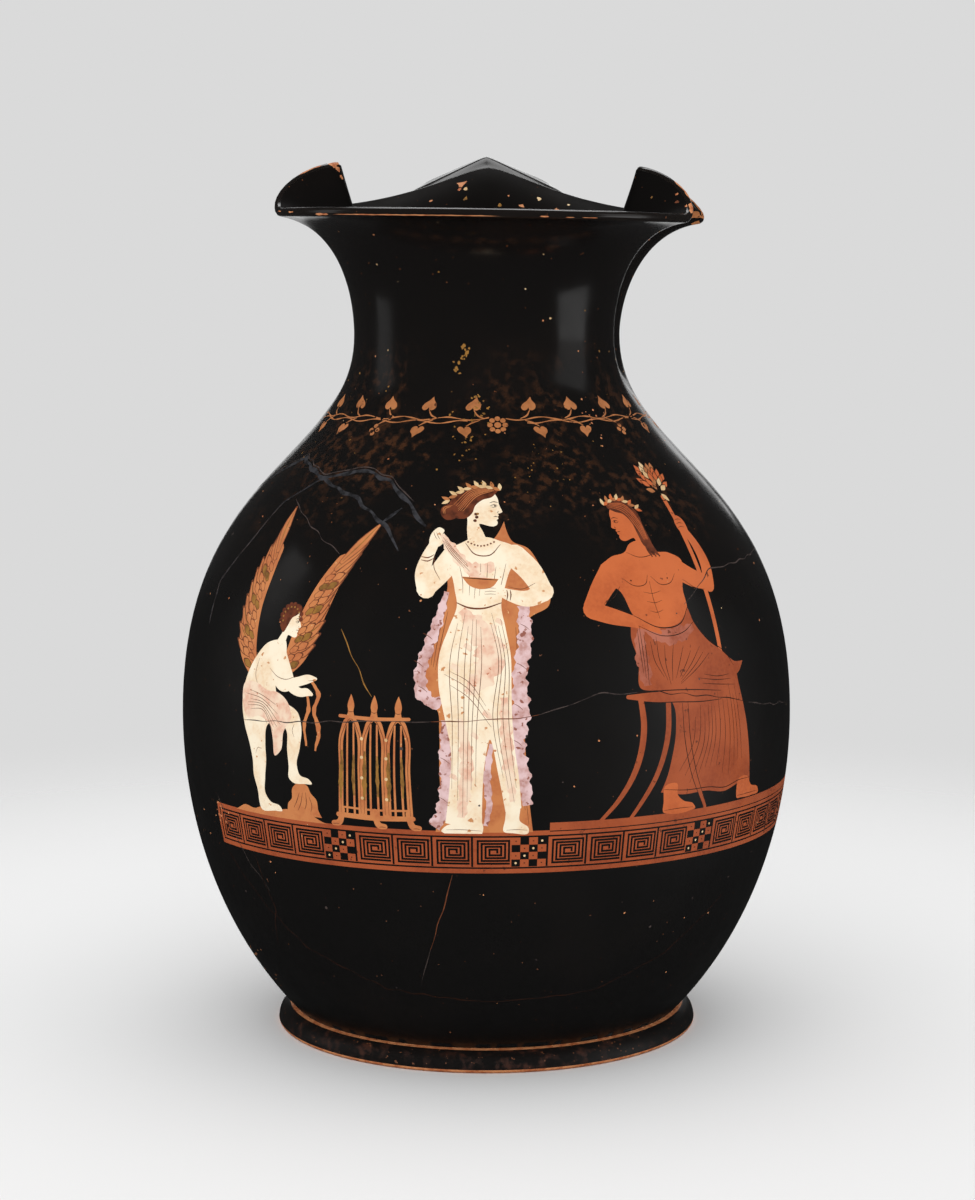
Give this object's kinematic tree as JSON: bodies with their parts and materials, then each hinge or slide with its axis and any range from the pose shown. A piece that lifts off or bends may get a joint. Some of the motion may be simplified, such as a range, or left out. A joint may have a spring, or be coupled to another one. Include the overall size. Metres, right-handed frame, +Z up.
{
  "type": "oinochoe",
  "caption": "Black-glazed fired-clay wine jug with a trefoil mouth, round belly, low ring foot and ridged strap handle, painted with an ivy wreath, figures and a meander band.",
  "frame": {"origin": "under the middle of the jug's bounding box, on the surface it stands on", "axes": "+Z up, -Y towards the pouring lobe of the mouth, +Y towards the handle, +X to the jug's left when its spout faces forwards"},
  "size_m": [0.162, 0.171, 0.234],
  "materials": {
    "black_glaze": "glossy black slip on orange fired clay"
  },
  "bodies": {
    "root": {"jug": "black_glaze"}
  },
  "joints": []
}
